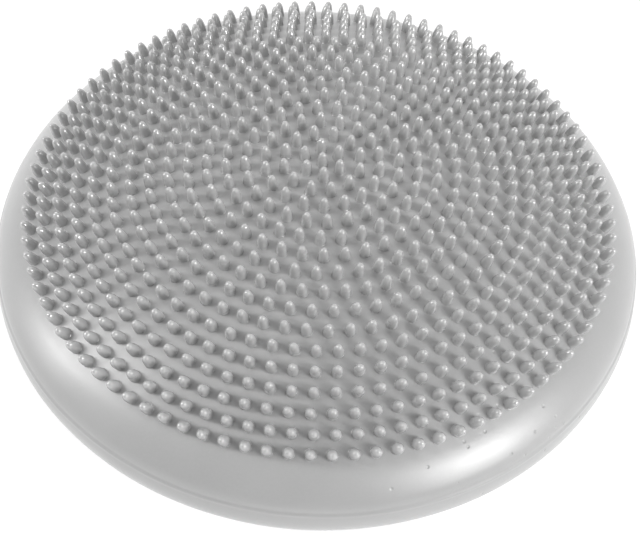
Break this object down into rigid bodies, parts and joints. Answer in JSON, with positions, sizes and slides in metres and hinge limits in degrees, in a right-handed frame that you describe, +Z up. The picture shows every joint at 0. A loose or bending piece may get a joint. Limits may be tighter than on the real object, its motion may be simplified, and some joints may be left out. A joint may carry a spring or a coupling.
{
  "type": "balance cushion",
  "caption": "Round inflatable balance cushion with a domed top covered in massage nubs, a smooth shoulder and rim, and a stoppered air valve.",
  "frame": {"origin": "on the floor, under the middle of the cushion", "axes": "+Z up along the cushion's axis of symmetry; +Y towards the valve"},
  "size_m": [0.33, 0.33, 0.0871],
  "materials": {
    "skin": "satin moulded soft PVC, light grey",
    "valve_seat": "moulded, slightly darker grey",
    "valve_core": "matt black rubber",
    "valve_plug": "moulded light grey plastic"
  },
  "bodies": {
    "base": {"lower_skin": "skin", "grip_bumps": "skin", "side_wall": "skin", "valve_seat": "valve_seat", "valve_core": "valve_core"},
    "crown": {"crown_skin": "skin", "centre_nubs": "skin", "inner_nubs": "skin", "outer_nubs": "skin"},
    "plug": {"valve_plug": "valve_plug"}
  },
  "joints": [
    {"name": "press_down", "type": "slide", "parent": "base", "child": "crown", "axis": [0, 0, -1], "range_m": [0, 0.014], "stiffness_N_per_m": 46000, "springref_m": -0.0005, "deforming": ["side_wall"]},
    {"name": "plug_pull", "type": "slide", "parent": "base", "child": "plug", "axis": [0, 0.8192, -0.5736], "range_m": [0, 0.012]}
  ]
}
